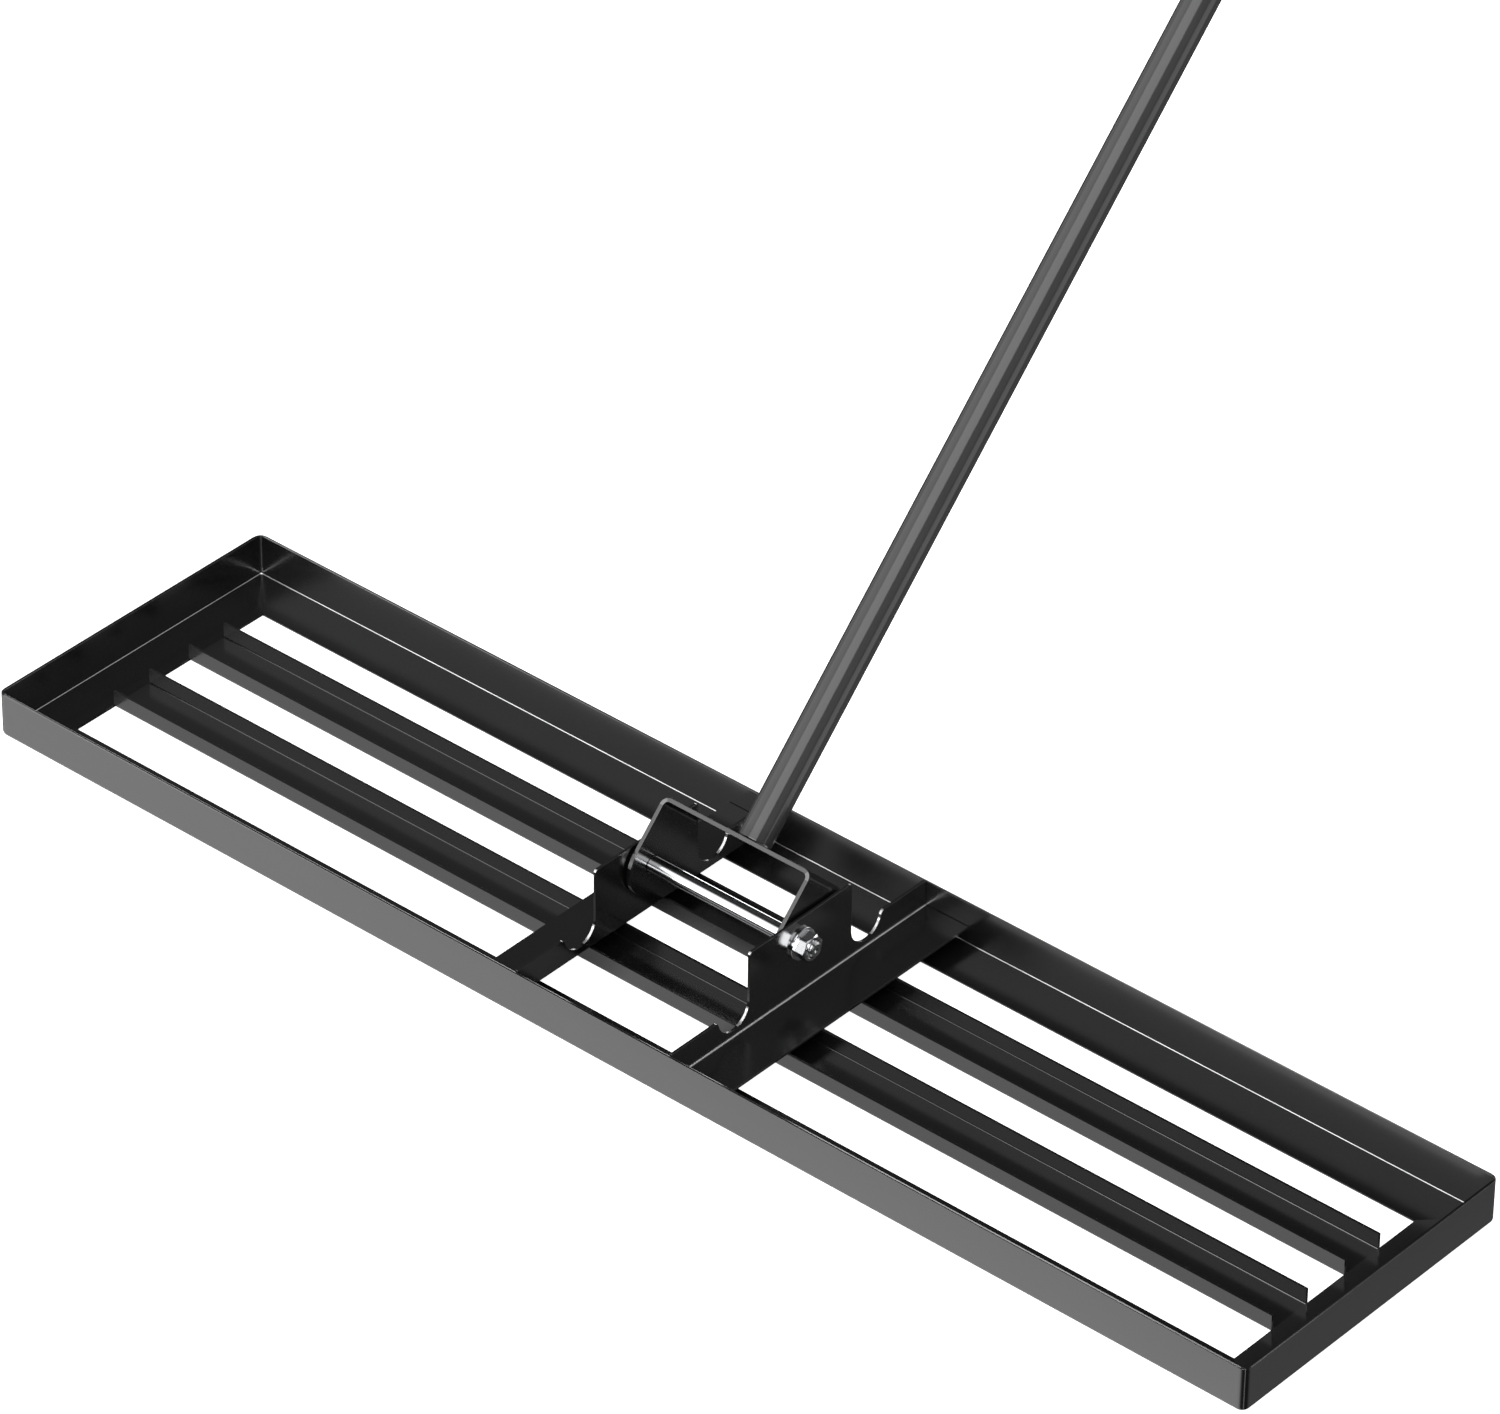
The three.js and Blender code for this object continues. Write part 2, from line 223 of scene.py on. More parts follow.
TRAY_COAT = powder_coat("tray powder coat", 0.004, 0.0065, 0.16, 0.24, 2.0)
TUBE_COAT = powder_coat("tube paint", 0.042, 0.05, 0.1, 0.16, 1.5)
ZINC = zinc_plate("zinc plate")
RUBBER = grip_rubber("grip rubber")


# ---------------------------------------------------------------- mesh helpers

BEVEL_WEIGHT = "bevel_weight_edge"
SHARP = math.radians(50)
CREASE = math.radians(22)
MERGE = 1e-7
FOLD_STEPS = 6
# Strength of the painted highlight on the inside of the folds.
FOLD_SHINE = 0.9
SLIGHT_SLOPE = 0.35
STEEP_SLOPE = 0.94


def arc(centre_a, centre_b, radius, start, end, steps):
    """Points along an arc, both ends included."""
    turns = [start + (end - start) * step / steps for step in range(steps + 1)]
    return [(centre_a + radius * math.cos(t), centre_b + radius * math.sin(t)) for t in turns]


def close_skin(bm):
    """Merges the points that coincide, and turns every face outwards."""
    bmesh.ops.remove_doubles(bm, verts=bm.verts, dist=MERGE)
    bmesh.ops.recalc_face_normals(bm, faces=bm.faces)


def piece(name, bm, material, body, nodes, rounding=0.0):
    """Finishes a mesh as a piece of the object: smooth, with its cut edges rounded over."""
    close_skin(bm)
    for face in bm.faces:
        face.smooth = True
    mesh = bpy.data.meshes.new(name)
    bm.to_mesh(mesh)
    bm.free()
    mesh.materials.append(material)
    thing = bpy.data.objects.new(name, mesh)
    bpy.context.scene.collection.objects.link(thing)
    if rounding:
        bevel = thing.modifiers.new("rounded edges", "BEVEL")
        bevel.width = rounding
        bevel.segments = 3
        bevel.limit_method = "WEIGHT" if BEVEL_WEIGHT in mesh.attributes else "ANGLE"
        bevel.angle_limit = SHARP
        thing.modifiers.new("even shading", "WEIGHTED_NORMAL")
    else:
        mesh.set_sharp_from_angle(angle=CREASE)
    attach(thing, body)
    if nodes:
        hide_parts(*nodes)
    return thing


def paint_highlight(bm, is_highlighted):
    """Marks the faces that the given test accepts for a painted highlight."""
    layer = bm.faces.layers.float.new(PAINTED_HIGHLIGHT)
    for face in bm.faces:
        face[layer] = FOLD_SHINE if is_highlighted(face) else 0


def weigh_edges(bm, is_cut):
    """Marks the sharp edges that is_cut accepts, so that only they are rounded over."""
    close_skin(bm)
    layer = bm.edges.layers.float.new(BEVEL_WEIGHT)
    for edge in bm.edges:
        sharp = edge.calc_face_angle(0) > SHARP
        edge[layer] = 1.0 if sharp and is_cut(edge) else 0.0


def sweep(bm, rings, capped=True):
    """A skin over closed rings of points, one after another."""
    rows = [[bm.verts.new(point) for point in each] for each in rings]
    for row, following in zip(rows, rows[1:]):
        for index in range(len(row)):
            after = (index + 1) % len(row)
            bm.faces.new((row[index], row[after], following[after], following[index]))
    if capped:
        bm.faces.new(rows[0])
        bm.faces.new(rows[-1])


def ring(radius, along, steps, place):
    """Points round a turned body, at one place along it."""
    turns = [TURN * step / steps for step in range(steps)]
    return [place(radius * math.cos(t), radius * math.sin(t), along) for t in turns]


def turned(bm, profile, steps, place):
    """A round, hollow body from the (radius, position) points of its closed outline."""
    rings = [ring(radius, along, steps, place) for radius, along in profile]
    sweep(bm, [*rings, rings[0]], capped=False)


def thick_sheet(bm, points, faces, place, folded, round_shine):
    """Sheet metal from a flat pattern: both skins, and a cut edge wherever the pattern ends.

    The folded faces get a painted highlight on the inside of the fold, and so does the cut edge where
    the outline curves and faces upwards.
    """
    layer = bm.faces.layers.float.new(PAINTED_HIGHLIGHT)
    near = [bm.verts.new(place(point, -SHEET / 2)) for point in points]
    far = [bm.verts.new(place(point, SHEET / 2)) for point in points]
    uses = {}
    for face in faces:
        bm.faces.new([near[index] for index in face])
        inside = bm.faces.new([far[index] for index in reversed(face)])
        inside[layer] = FOLD_SHINE if face in folded else 0
        for edge in zip(face, face[1:] + face[:1]):
            uses.setdefault(frozenset(edge), []).append(edge)
    for edges in uses.values():
        if len(edges) == 1:
            start, end = edges[0]
            edge = bm.faces.new((near[start], far[start], far[end], near[end]))
            run = far[end].co - far[start].co
            curved = run.length < 2 * SHEET
            sloping = SLIGHT_SLOPE < abs(run.z) / run.length < STEEP_SLOPE
            edge[layer] = round_shine if curved and sloping else 0


def fold(along, offset, middle):
    """Where a point of a sheet lands when the sheet is folded square at along = 0.

    Positive along stays in the first face. Gives (distance into the second face, distance along the first).
    """
    if along >= 0:
        return offset, along
    turn = min(-along / middle, QUARTER)
    rest = -along - middle * turn
    inner = middle - offset
    return middle - inner * math.cos(turn) + rest * math.sin(turn), -inner * math.sin(turn)


# ---------------------------------------------------------------- tray

CORNER_STEPS = 8
CUT_ROUND = 0.25 * MM
# Strength of the painted highlight on the curved, upward-facing cut edges of the cross-members.
CUT_SHINE = 0.7
FOLD_MARGIN = 0.05


def rail_profile():
    """Wall and flange of the tray's edge.

    Gives (distance in from the outside, height, radius of the tray's upright corner there).
    """
    outside = arc(FOLD_OUTSIDE, FOLD_OUTSIDE, FOLD_OUTSIDE, 3 * QUARTER, 2 * QUARTER, FOLD_STEPS)
    inside = arc(FOLD_OUTSIDE, FOLD_OUTSIDE, FOLD_INSIDE, 2 * QUARTER, 3 * QUARTER, FOLD_STEPS)
    outer_skin = [(STRIP, 0), *outside, (0, WALL_HEIGHT)]
    inner_skin = [(SHEET, WALL_HEIGHT), *inside, (STRIP, SHEET)]
    profile = [(d, z, max(CORNER_RADIUS - d, 0)) for d, z in outer_skin]
    return profile + [(d, z, max(CORNER_INSIDE + SHEET - d, 0)) for d, z in inner_skin]


def rail(name, turns):
    """One side of the tray, mitred to its neighbours at the middle of each rounded corner."""
    across = HALF_LENGTH if turns % 2 == 0 else HALF_DEPTH
    out = HALF_DEPTH if turns % 2 == 0 else HALF_LENGTH
    profile = rail_profile()
    rings = []
    for side in (-1, 1):
        for step in range(CORNER_STEPS + 1):
            lean = step / CORNER_STEPS if side > 0 else 1 - step / CORNER_STEPS
            angle = 3 * QUARTER + side * lean * QUARTER / 2
            section = []
            for inward, height, radius in profile:
                back = inward + radius
                x = side * (across - back) + radius * math.cos(angle)
                y = back - out + radius * math.sin(angle)
                section.append(Vector((x, y, height)))
            rings.append(section)
    bm = bmesh.new()
    sweep(bm, rings)
    weigh_edges(bm, lambda edge: edge.calc_length() < across and not on_mitre(edge, across, out))
    # Painted highlight on the faces inside the rail's fold.
    paint_highlight(bm, lambda face: in_fold(face.calc_center_median(), out))
    rotation = Matrix.Rotation(turns * QUARTER, 4, "Z")
    bm.transform(Matrix.Translation((0, TRAY_CENTRE_Y, 0)) @ rotation)
    return piece(f"{name}_formed", bm, TRAY_COAT, "tray", [name], CUT_ROUND)


def in_fold(point, out):
    """Whether a point of a rail lies on the inside of its fold."""
    inward = point.y + out
    inner_skin = (1 + FOLD_MARGIN) * SHEET
    edge = (1 - FOLD_MARGIN) * FOLD_OUTSIDE
    return inner_skin < inward < edge and inner_skin < point.z < FOLD_OUTSIDE


def on_mitre(edge, across, out):
    """Whether an edge lies in the diagonal plane through a corner of the tray."""
    depth = across - out
    return all(abs(abs(vert.co.x) + vert.co.y - depth) < 10 * MERGE for vert in edge.verts)


def slat(name):
    """Shallow channel whose floor runs flush into the end rails' flanges."""
    middle = box_middle(name).y
    half = STRIP / 2
    bend = half - FOLD_OUTSIDE
    outline = [
        (half - SHEET, SLAT_HEIGHT),
        *arc(bend, FOLD_OUTSIDE, FOLD_INSIDE, 0, -QUARTER, FOLD_STEPS),
        *arc(-bend, FOLD_OUTSIDE, FOLD_INSIDE, -QUARTER, -2 * QUARTER, FOLD_STEPS),
        (SHEET - half, SLAT_HEIGHT),
        (-half, SLAT_HEIGHT),
        *arc(-bend, FOLD_OUTSIDE, FOLD_OUTSIDE, 2 * QUARTER, 3 * QUARTER, FOLD_STEPS),
        *arc(bend, FOLD_OUTSIDE, FOLD_OUTSIDE, 3 * QUARTER, TURN, FOLD_STEPS),
        (half, SLAT_HEIGHT),
    ]
    bm = bmesh.new()
    ends = (low(name).x, high(name).x)
    sweep(bm, [[Vector((x, middle + y, z)) for y, z in outline] for x in ends])
    weigh_edges(bm, lambda edge: max(vert.co.z for vert in edge.verts) > FOLD_OUTSIDE)
    return piece(f"{name}_formed", bm, TRAY_COAT, "tray", [name], CUT_ROUND)


NOTCH_RADIUS = 15 * MM
NOTCH_BOTTOM = 20.4 * MM
LEG_TOP = 35 * MM
LEG_CORNER = 4 * MM
EAR_HALF = 50 * MM
EAR_CORNER = 2.5 * MM
SMALL_STEPS = 5
NOTCH_STEPS = 18
HOLE_RADIUS = 6.45 * MM
HOLE_STEPS = 16


def half_rings(first):
    """Both halves of a ring of hole points, by index, where the first point has a given index."""
    near = [first + step for step in range(HOLE_STEPS + 1)]
    far = [first + step % (2 * HOLE_STEPS) for step in range(HOLE_STEPS, 2 * HOLE_STEPS + 1)]
    return near, far


def leg_outline(end, start):
    """Outline of a cross-member's leg, from the fold at the tray's edge, round the notch, to the ear."""
    notch_y = EAR_HALF + NOTCH_RADIUS
    notch_z = NOTCH_BOTTOM + NOTCH_RADIUS
    corner_z = LEG_TOP - LEG_CORNER
    apart = NOTCH_RADIUS + LEG_CORNER
    tilt = math.asin((notch_z - corner_z) / apart)
    corner_y = notch_y + apart * math.cos(tilt)
    return [
        (end, start),
        (end, LEG_TOP),
        *arc(corner_y, corner_z, LEG_CORNER, QUARTER, 2 * QUARTER - tilt, SMALL_STEPS)[:-1],
        *arc(notch_y, notch_z, NOTCH_RADIUS, -tilt, -2 * QUARTER, NOTCH_STEPS),
        (EAR_HALF, PIVOT.z),
    ]


def crossmember(name, side):
    """Angle across the tray with an ear for the pivot, folded from one flat pattern."""
    end = (high(name).y - low(name).y) / 2
    start = low(name).z + FOLD_OUTSIDE
    reach = high(name).x - low(name).x - FOLD_OUTSIDE
    leg = leg_outline(end, start)
    ear_corner = arc(EAR_HALF - EAR_CORNER, high(name).z - EAR_CORNER, EAR_CORNER, 0, QUARTER, SMALL_STEPS)
    points = [*leg, *ear_corner]
    points += [(-y, z) for y, z in reversed(points)]
    count = len(points)
    split_right = len(leg) - 1
    split_left = count - 1 - split_right
    points += arc(0, PIVOT.z, HOLE_RADIUS, 0, TURN, 2 * HOLE_STEPS)[:-1]
    above, below = half_rings(count)
    faces = [
        [*range(split_right, split_left + 1), *reversed(above)],
        [*range(split_left, count), *range(0, split_right + 1), *reversed(below)],
    ]
    rows = [(count - 1, 0)]
    bend_length = FOLD_MIDDLE * QUARTER
    drops = [bend_length * step / FOLD_STEPS for step in range(1, FOLD_STEPS + 1)]
    for drop in [*drops, bend_length + reach]:
        rows.append((len(points), len(points) + 1))
        points += [(-end, start - drop), (end, start - drop)]
    for (a, b), (c, d) in zip(rows, rows[1:]):
        faces.append([a, c, d, b])
    folded = faces[2:-1]

    def place(point, offset):
        out, up = fold(point[1] - start, offset, FOLD_MIDDLE)
        x = LEG_X + SHEET / 2 + out
        return Vector((side * x, TRAY_CENTRE_Y + side * point[0], start + up))

    bm = bmesh.new()
    thick_sheet(bm, points, faces, place, folded, CUT_SHINE)
    return piece(f"{name}_formed", bm, TRAY_COAT, "tray", [name], CUT_ROUND)


# ---------------------------------------------------------------- pivot

BOLT_RADIUS = 6 * MM
BOLT_STEPS = 48
THREAD_PITCH = 1.75 * MM
THREAD_DEPTH = 1.0 * MM
THREAD_FLANK = 1.15
THREAD_ROWS = 10
THREAD_GAP = 0.1 * MM
THREAD_HIDDEN = 6 * THREAD_PITCH
RING_GAP = 1 * MM
TIP_CONE = 1.4 * MM
DIMPLE_RADIUS = 1.6 * MM
DIMPLE_DEPTH = 0.9 * MM
DIMPLE_POINT = 0.2 * MM
HEX_FLAT = 8.8 * MM
HEX_CORNER = 1.135 * HEX_FLAT
HEX_CROWN = 0.96 * HEX_FLAT
HEX_TURN = math.radians(34)
HEX_CHAMFER = math.radians(30)
HEX_STEPS = 96
COUNTERSINK = 0.7 * MM
WASHER_GAP = 0.15 * MM
WASHER_ROUND = 0.5 * MM
WASHER_STEPS = 64


def about_pivot(direction):
    """Places (b, c, along) with along running outwards along X from the tray's middle."""

    def place(b, c, along):
        return Vector((direction * along, PIVOT.y + b, PIVOT.z + c))

    return place


def hexagon_rings(seat, top, bore):
    """Rings of a hexagonal block whose far corners are turned off by a cone."""
    bottom, shoulder, crown, mouth = [], [], [], []
    for step in range(HEX_STEPS):
        angle = TURN * step / HEX_STEPS
        across = (angle + TURN / 12) % (TURN / 6) - TURN / 12
        radius = min(HEX_FLAT / math.cos(across), HEX_CORNER)
        drop = (radius - HEX_CROWN) * math.tan(HEX_CHAMFER)
        turn = angle + HEX_TURN + QUARTER + TURN / 12
        b, c = math.cos(turn), math.sin(turn)
        bottom.append((radius * b, radius * c, seat))
        shoulder.append((radius * b, radius * c, top - drop))
        crown.append((HEX_CROWN * b, HEX_CROWN * c, top))
        mouth.append((bore * b, bore * c, top))
    return bottom, shoulder, crown, mouth


def nut():
    """Hexagon with a countersunk bore."""
    name = "pivot_nut"
    place = about_pivot(1)
    seat = low(name).x
    top = high(name).x
    bore = BOLT_RADIUS + THREAD_GAP
    bottom, shoulder, crown, mouth = hexagon_rings(seat, top, bore + COUNTERSINK)
    inward = bore / (bore + COUNTERSINK)
    throat = [(b * inward, c * inward, top - COUNTERSINK) for b, c, _ in mouth]
    foot = [(b, c, seat) for b, c, _ in throat]
    bm = bmesh.new()
    rings = [bottom, shoulder, crown, mouth, throat, foot, bottom]
    sweep(bm, [[place(*point) for point in each] for each in rings], capped=False)
    return piece("pivot_nut_turned", bm, ZINC, "tray", [name])


def washer(name, direction):
    """Flat ring whose outer edge is rounded on the side away from the ear."""
    outer = (high(name).y - low(name).y) / 2
    near = min(abs(low(name).x), abs(high(name).x))
    far = max(abs(low(name).x), abs(high(name).x))
    inner = BOLT_RADIUS + WASHER_GAP
    profile = [
        (inner, near),
        (outer - WASHER_ROUND / 2, near),
        *arc(outer - WASHER_ROUND, far - WASHER_ROUND, WASHER_ROUND, 0, QUARTER, 4),
        (inner + WASHER_ROUND / 2, far),
        (inner, far - WASHER_ROUND / 2),
    ]
    bm = bmesh.new()
    turned(bm, profile, WASHER_STEPS, about_pivot(direction))
    return piece(f"{name}_turned", bm, ZINC, "tray", [name])


def thread_ring(along, tip, place):
    """Points round the bolt's thread, which runs out into the cone at the tip."""
    points = []
    for step in range(BOLT_STEPS):
        turn = TURN * step / BOLT_STEPS
        phase = (along / THREAD_PITCH - turn / TURN) % 1
        groove = THREAD_DEPTH * max(0, 1 - abs(2 * phase - 1) * THREAD_FLANK)
        taper = max(0, along - (tip - TIP_CONE))
        radius = BOLT_RADIUS - max(groove, taper)
        points.append(place(radius * math.cos(turn), radius * math.sin(turn), along))
    return points


def bolt_shank():
    """Smooth shank with a real helical thread on the right and a dimple in its tip."""
    name = "pivot_bolt"
    seat = low("left_washer").x
    tip = high(name).x
    thread_start = high("right_washer").x - THREAD_HIDDEN
    place = about_pivot(1)
    plain = (seat - 2 * RING_GAP, seat - RING_GAP, seat, thread_start - RING_GAP, thread_start)
    rings = [ring(BOLT_RADIUS, along, BOLT_STEPS, place) for along in plain]
    rows = THREAD_ROWS * round((tip - thread_start) / THREAD_PITCH)
    for row in range(1, rows + 1):
        along = thread_start + (tip - thread_start) * row / rows
        rings.append(thread_ring(along, tip, place))
    rings.append(ring(DIMPLE_RADIUS, tip, BOLT_STEPS, place))
    rings.append(ring(DIMPLE_POINT, tip - DIMPLE_DEPTH, BOLT_STEPS, place))
    bm = bmesh.new()
    sweep(bm, rings)
    return piece("pivot_bolt_threaded", bm, ZINC, "tray", [name])


def bolt_head():
    """Hexagonal head on the left."""
    name = "pivot_bolt"
    place = about_pivot(-1)
    rings = hexagon_rings(-low("left_washer").x, -low(name).x, HEX_FLAT / 2)
    bm = bmesh.new()
    sweep(bm, [[place(*point) for point in each] for each in rings])
    return piece("pivot_bolt_head", bm, ZINC, "tray", [name])


# ---------------------------------------------------------------- yoke and handle

YOKE_SHEET = 3 * MM
YOKE_STRIP = 44.4 * MM
YOKE_FOLD_OUTSIDE = 6.5 * MM
YOKE_CUT_ROUND = 0.35 * MM
# Strength of the painted highlight on the yoke's curved cut edges.
YOKE_CUT_SHINE = 0.15
YOKE_GAP = 0.3 * MM
YOKE_TIP_STEPS = 20
TUBE_WALL = 0.9 * MM
TUBE_EDGE = 0.35 * MM
TUBE_SUPPORT = 0.15 * MM
TUBE_STEPS = 96
FILLET = 1.4 * MM
FILLET_OVERLAP = 0.3 * MM
GRIP_RADIUS = 16.5 * MM
GRIP_BEAD = 6 * MM
GRIP_ROUND = 4 * MM
GRIP_GAP = 0.15 * MM
GRIP_LIP = 0.6 * MM
GRIP_NECK = 0.5 * MM
GRIP_CENTRE = 0.05 * MM
RIBS_FROM_BEAD = 12 * MM
RIBS_FROM_TOP = 22 * MM
RIB_PITCH = 5 * MM
RIB_DEPTH = 0.9 * MM
# One rib and the groove before it: share of the pitch, share of the groove's depth.
RIB_SHAPE = ((0.0, 0), (0.1, 0.5), (0.2, 1), (0.35, 1), (0.65, 1), (0.8, 0.5), (0.9, 0))


def on_handle(b, c, along):
    """Places a point by its distance along the handle from the pivot; b runs across, along X."""
    up = Vector((0, -HANDLE_AXIS.z, HANDLE_AXIS.y))
    return PIVOT + Vector((b, 0, 0)) + up * c + HANDLE_AXIS * along


def yoke_arm(points, faces, side, start, bend_length):
    """Adds an arm's flat pattern round its hole. Gives the pairs of points across its bend."""
    half = YOKE_STRIP / 2
    tip = arc(0, 0, half, QUARTER, 3 * QUARTER, YOKE_TIP_STEPS)
    hole = arc(0, 0, HOLE_RADIUS, QUARTER, QUARTER + TURN, 2 * HOLE_STEPS)[:-1]
    base = len(points)
    last = base + len(tip) - 1
    root = last + 1 + len(hole)
    pattern = [*tip, *hole, (start, -half), (start, half)]
    points += [(side, along, across) for along, across in pattern]
    near, far = half_rings(last + 1)
    faces.append([*range(base, last + 1), *reversed(near)])
    faces.append([last, root, root + 1, base, *reversed(far)])
    rows = [(root, root + 1)]
    for step in range(1, FOLD_STEPS + 1):
        rows.append((len(points), len(points) + 1))
        along = start + bend_length * step / FOLD_STEPS
        points += [(side, along, -half), (side, along, half)]
    return rows


def yoke():
    """Strap bent into a U round the pivot's bolt, with round ends."""
    name = "yoke"
    arm = high(name).x
    middle = YOKE_FOLD_OUTSIDE - YOKE_SHEET / 2
    web_half = arm - YOKE_FOLD_OUTSIDE
    start = along_handle("handle_lower")[0] - YOKE_GAP - YOKE_FOLD_OUTSIDE
    points, faces = [], []
    left, right = (yoke_arm(points, faces, side, start, middle * QUARTER) for side in (-1, 1))
    chain = left + right[::-1]
    for (a, b), (c, d) in zip(chain, chain[1:]):
        faces.append([a, c, d, b])

    def place(point, offset):
        side, along, across = point
        offset *= YOKE_SHEET / SHEET
        if along <= start:
            return on_handle(side * (arm - YOKE_SHEET / 2 - offset), across, along)
        turn = (along - start) / middle
        radius = middle - offset
        b = web_half + radius * math.cos(turn)
        return on_handle(side * b, across, start + radius * math.sin(turn))

    bm = bmesh.new()
    thick_sheet(bm, points, faces, place, (), YOKE_CUT_SHINE)
    return piece("yoke_formed", bm, TRAY_COAT, "handle", [name], YOKE_CUT_ROUND)


def tube(name):
    """Hollow tube with rounded ends. A ring beside each end keeps its long wall's shading even."""
    start, end = along_handle(name)
    inner = TUBE_RADIUS - TUBE_WALL
    support = TUBE_EDGE + TUBE_SUPPORT
    profile = [
        (inner, start + support),
        (inner, start + TUBE_EDGE),
        *arc(TUBE_RADIUS - TUBE_EDGE, start + TUBE_EDGE, TUBE_EDGE, 3 * QUARTER, TURN, 3),
        (TUBE_RADIUS, start + support),
        (TUBE_RADIUS, end - support),
        *arc(TUBE_RADIUS - TUBE_EDGE, end - TUBE_EDGE, TUBE_EDGE, 0, QUARTER, 3),
        (inner, end - TUBE_EDGE),
        (inner, end - support),
    ]
    bm = bmesh.new()
    turned(bm, profile, TUBE_STEPS, on_handle)
    return piece(f"{name}_tube", bm, TUBE_COAT, "handle", [name])


def foot_fillet():
    """Small smooth fillet that joins the lower tube to the yoke."""
    seat = along_handle("handle_lower")[0] - YOKE_GAP
    inner = TUBE_RADIUS - FILLET_OVERLAP
    hollow = arc(TUBE_RADIUS + FILLET, seat + FILLET, FILLET, 3 * QUARTER, 2 * QUARTER, 8)
    profile = [*hollow, (inner, seat + FILLET), (inner, seat)]
    bm = bmesh.new()
    turned(bm, profile, TUBE_STEPS, on_handle)
    return piece("foot_fillet", bm, TRAY_COAT, "handle", [])


def grip():
    """Rubber sleeve with moulded ribs, a bead at its lower end and a rounded, closed top."""
    name = "grip"
    wide = (high(name).x - low(name).x) / 2
    tilt_in = wide * math.sin(HANDLE_ANGLE)
    tilt_out = GRIP_ROUND + (GRIP_RADIUS - GRIP_ROUND) * math.sin(HANDLE_ANGLE)
    start = (low(name).y - PIVOT.y + tilt_in) / math.cos(HANDLE_ANGLE)
    end = (high(name).y - PIVOT.y - tilt_out) / math.cos(HANDLE_ANGLE) + GRIP_ROUND
    bead = GRIP_BEAD / 2
    first_rib = start + GRIP_BEAD + RIBS_FROM_BEAD
    ribs = round((end - RIBS_FROM_TOP - first_rib) / RIB_PITCH)
    profile = [
        (TUBE_RADIUS + GRIP_GAP, start + GRIP_LIP),
        *arc(wide - bead, start + bead, bead, 3 * QUARTER, TURN + QUARTER, 10),
        (GRIP_RADIUS, start + GRIP_BEAD + GRIP_NECK),
    ]
    for rib in range(ribs):
        for share, depth in RIB_SHAPE:
            profile.append((GRIP_RADIUS - depth * RIB_DEPTH, first_rib + (rib + share) * RIB_PITCH))
    profile += arc(GRIP_RADIUS - GRIP_ROUND, end - GRIP_ROUND, GRIP_ROUND, 0, QUARTER, 6)
    profile.append((GRIP_CENTRE, end))
    bm = bmesh.new()
    sweep(bm, [ring(radius, along, TUBE_STEPS, on_handle) for radius, along in profile])
    return piece("grip_sleeve", bm, RUBBER, "handle", [name])


def build_object():
    for turns, name in enumerate(("front_rail", "right_rail", "back_rail", "left_rail")):
        rail(name, turns)
    slat("front_slat")
    slat("rear_slat")
    crossmember("right_crossmember", 1)
    crossmember("left_crossmember", -1)
    washer("left_washer", -1)
    washer("right_washer", 1)
    nut()
    bolt_shank()
    bolt_head()
    yoke()
    foot_fillet()
    tube("handle_lower")
    tube("handle_upper")
    grip()
    for name in ("coupling_socket", "coupling_stud"):
        coupling = frame["nodes"][name]
        coupling.data.materials.clear()
        coupling.data.materials.append(ZINC)


# ---------------------------------------------------------------- studio

CAMERA_AZIMUTH = math.radians(40.725)
CAMERA_ELEVATION = math.radians(35.426)
CAMERA_ROLL = math.radians(0.674)
CAMERA_DISTANCE = 5.857
AIM_RIGHT = 0.01823
AIM_UP = 0.1691
LENS = 216.84
FARTHEST_SEEN = 60

FLOOR_HALF = 30
FLOOR_HEIGHT = -0.5 * MM
FILM_STEP = 0.1 * MM
SHEET_CELLS = 2
LIGHT_DISTANCE = 20
ROOM_RADIANCE = 0.022

# Painted shade: grey films on the floor that only reflections show, in layers: name, place to the right,
# half width, half depth, edge, middle.
SHADE_FILMS = (
    ("under tray", 0, HALF_LENGTH, HALF_DEPTH, 0.55, 0.55),
    ("under yoke", -12 * MM, 90 * MM, 30 * MM, 1, 0.2),
    ("under left leg", -78 * MM, 44 * MM, HALF_DEPTH, 1, 0),
    ("under right leg", 62 * MM, 26 * MM, HALF_DEPTH, 1, 0.2),
)

# Soft patches of light round the studio: azimuth, elevation, bright radius, faded radius, radiance.
GLOWS = (
    (-41, -42, 22, 48, 1.25),
    (-50, 24, 20, 38, 1.55),
    (-88, 8, 10, 24, 0.6),
    (109, -8, 14, 22, 1.3),
    (20, 54, 26, 31, 3.1),
    (76, 22, 14, 24, 0.3),
    (139, -38, 14, 34, 0.24),
    (137, 32, 10, 26, 0.4),
    (-122, 29, 11, 22, 0.13),
    (170, 22, 14, 34, 0.8),
)

# Rectangular lights: name, azimuth, elevation, width, height, radiance.
SOFTBOXES = (
    ("low front softbox", -31, 4, 40, 16, 3.0),
    ("right front lamp", 32, 8, 15, 15, 9.0),
    ("right low softbox", 138, -2, 26, 16, 2.5),
    ("back left lamp", -147, 4, 14, 14, 3.5),
)


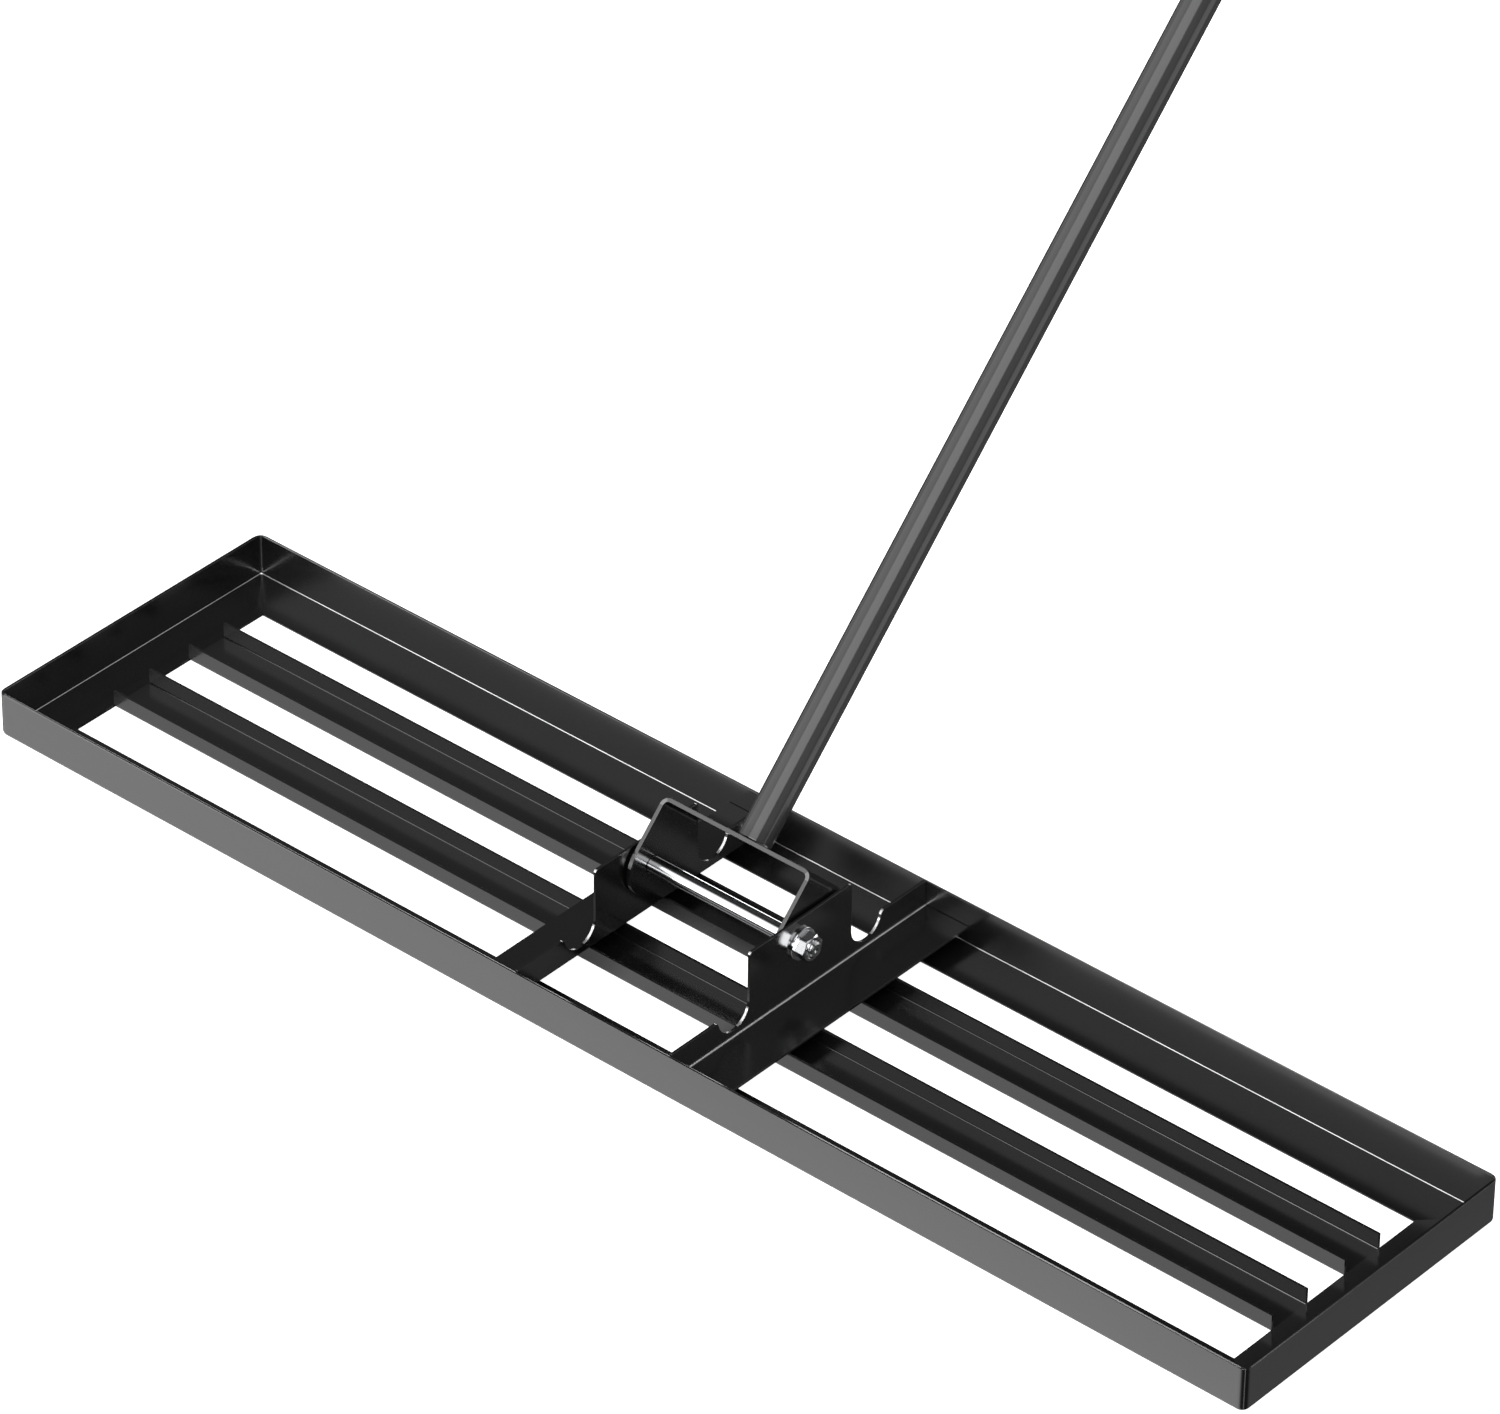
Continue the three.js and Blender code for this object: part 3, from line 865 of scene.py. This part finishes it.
def camera():
    """Looks down on the tray's front right corner from far off, through a long lens."""
    azimuth = Matrix.Rotation(CAMERA_AZIMUTH, 4, "Z")
    elevation = Matrix.Rotation(QUARTER - CAMERA_ELEVATION, 4, "X")
    roll = Matrix.Rotation(CAMERA_ROLL, 4, "Z")
    stand = Matrix.Translation((AIM_RIGHT, AIM_UP, CAMERA_DISTANCE))
    eye = bpy.data.objects.new("camera", bpy.data.cameras.new("camera"))
    eye.data.lens = LENS
    eye.data.clip_end = FARTHEST_SEEN
    eye.matrix_world = (
        Matrix.Translation((0, TRAY_CENTRE_Y, 0)) @ azimuth @ elevation @ roll @ stand
    )
    bpy.context.scene.collection.objects.link(eye)
    bpy.context.scene.camera = eye


def toward(azimuth, elevation):
    """Unit vector. Azimuth 0 is the tray's front (-Y), 90 its right end (+X)."""
    turn = math.radians(azimuth)
    rise = math.radians(elevation)
    return Vector((math.cos(rise) * math.sin(turn), -math.cos(rise) * math.cos(turn), math.sin(rise)))


def softbox(name, azimuth, elevation, width, height, radiance):
    """Rectangular soft light that faces the tray from far off. Width and height are in degrees."""
    lamp = bpy.data.lights.new(name, "AREA")
    lamp.shape = "RECTANGLE"
    lamp.size = 2 * LIGHT_DISTANCE * math.tan(math.radians(width) / 2)
    lamp.size_y = 2 * LIGHT_DISTANCE * math.tan(math.radians(height) / 2)
    lamp.energy = radiance * math.pi * lamp.size * lamp.size_y
    light = bpy.data.objects.new(name, lamp)
    light.location = Vector((0, TRAY_CENTRE_Y, 0)) + LIGHT_DISTANCE * toward(azimuth, elevation)
    light.rotation_euler = toward(azimuth, elevation).to_track_quat("Z", "Y").to_euler()
    light.visible_camera = False
    bpy.context.scene.collection.objects.link(light)


def flat_stage(name, size, location):
    """A level square sheet that throws no shadow or light on the object."""
    bm = bmesh.new()
    bmesh.ops.create_grid(bm, x_segments=SHEET_CELLS, y_segments=SHEET_CELLS, size=size)
    mesh = bpy.data.meshes.new(name)
    bm.to_mesh(mesh)
    bm.free()
    sheet = bpy.data.objects.new(name, mesh)
    sheet.location = location
    sheet.visible_diffuse = False
    sheet.visible_shadow = False
    bpy.context.scene.collection.objects.link(sheet)
    return sheet


def studio_floor():
    """A wide, plain white sheet that glows evenly and isn't mirrored."""
    floor = flat_stage("floor", FLOOR_HALF, (0, 0, FLOOR_HEIGHT))
    floor.visible_glossy = False
    material, tree, shader, place = node_material("pale floor")
    tone = blended(tree, noise(tree, place, 2, 1), (0.78,) * 3, (0.8,) * 3)
    tree.links.new(tone, shader.inputs["Base Color"])
    shader.inputs["Roughness"].default_value = 0.9
    shader.inputs["Emission Color"].default_value = (1, 1, 1, 1)
    shader.inputs["Emission Strength"].default_value = 1
    floor.data.materials.append(material)


def shade_film(layer, name, right, half_width, half_depth, edge, middle):
    """Painted shade: grey film on the floor where less light gets in, dense in the middle. Only reflections
    show it.
    """
    height = (layer - len(SHADE_FILMS)) * FILM_STEP
    sheet = flat_stage(name, 1, (right, TRAY_CENTRE_Y, height))
    sheet.scale = (half_width, half_depth, 1)
    sheet.visible_camera = False
    material, tree, shader, place = node_material(name)
    tree.nodes.remove(shader)
    to_middle = tree.nodes.new("ShaderNodeTexGradient")
    to_middle.gradient_type = "SPHERICAL"
    film = tree.nodes.new("ShaderNodeBsdfTransparent")
    tree.links.new(place, to_middle.inputs["Vector"])
    tree.links.new(ranged(tree, to_middle.outputs["Fac"], edge, middle), film.inputs["Color"])
    tree.links.new(film.outputs[0], tree.nodes["Material Output"].inputs["Surface"])
    sheet.data.materials.append(material)


def glow(tree, direction, azimuth, elevation, bright, faded, radiance):
    """Round patch of light in the sky, even up to the bright radius and gone at the faded one."""
    facing = tree.nodes.new("ShaderNodeVectorMath")
    facing.operation = "DOT_PRODUCT"
    facing.inputs[1].default_value = toward(azimuth, elevation)
    tree.links.new(direction, facing.inputs[0])
    fade = tree.nodes.new("ShaderNodeMapRange")
    fade.interpolation_type = "SMOOTHSTEP"
    fade.inputs["From Min"].default_value = math.cos(math.radians(faded))
    fade.inputs["From Max"].default_value = math.cos(math.radians(bright))
    fade.inputs["To Max"].default_value = radiance
    tree.links.new(facing.outputs["Value"], fade.inputs["Value"])
    return fade.outputs["Result"]


def studio_sky():
    """White where it is seen directly. What the object mirrors is a dark room with soft patches."""
    world = bpy.data.worlds.new("studio")
    bpy.context.scene.world = world
    world.use_nodes = True
    tree = world.node_tree
    room = tree.nodes["Background"]
    room.inputs["Color"].default_value = (1, 1, 1, 1)
    direction = tree.nodes.new("ShaderNodeTexCoord").outputs["Generated"]
    radiance = None
    for patch in GLOWS:
        brightest = tree.nodes.new("ShaderNodeMath")
        brightest.operation = "MAXIMUM"
        brightest.inputs[1].default_value = ROOM_RADIANCE
        tree.links.new(glow(tree, direction, *patch), brightest.inputs[0])
        if radiance:
            tree.links.new(radiance, brightest.inputs[1])
        radiance = brightest.outputs["Value"]
    tree.links.new(radiance, room.inputs["Strength"])
    backdrop = tree.nodes.new("ShaderNodeBackground")
    backdrop.inputs["Color"].default_value = (1, 1, 1, 1)
    path = tree.nodes.new("ShaderNodeLightPath")
    mix = tree.nodes.new("ShaderNodeMixShader")
    tree.links.new(path.outputs["Is Camera Ray"], mix.inputs["Fac"])
    tree.links.new(room.outputs[0], mix.inputs[1])
    tree.links.new(backdrop.outputs[0], mix.inputs[2])
    tree.links.new(mix.outputs[0], tree.nodes["World Output"].inputs["Surface"])


def studio():
    """Plain white floor and backdrop, with soft lights placed by where the surfaces mirror them."""
    bpy.context.scene.view_settings.view_transform = "Standard"
    studio_floor()
    # Grey films of painted shade under the tray, seen only in reflections.
    for layer, film in enumerate(SHADE_FILMS):
        shade_film(layer, *film)
    studio_sky()
    for lamp in SOFTBOXES:
        softbox(*lamp)


camera()
build_object()
studio()
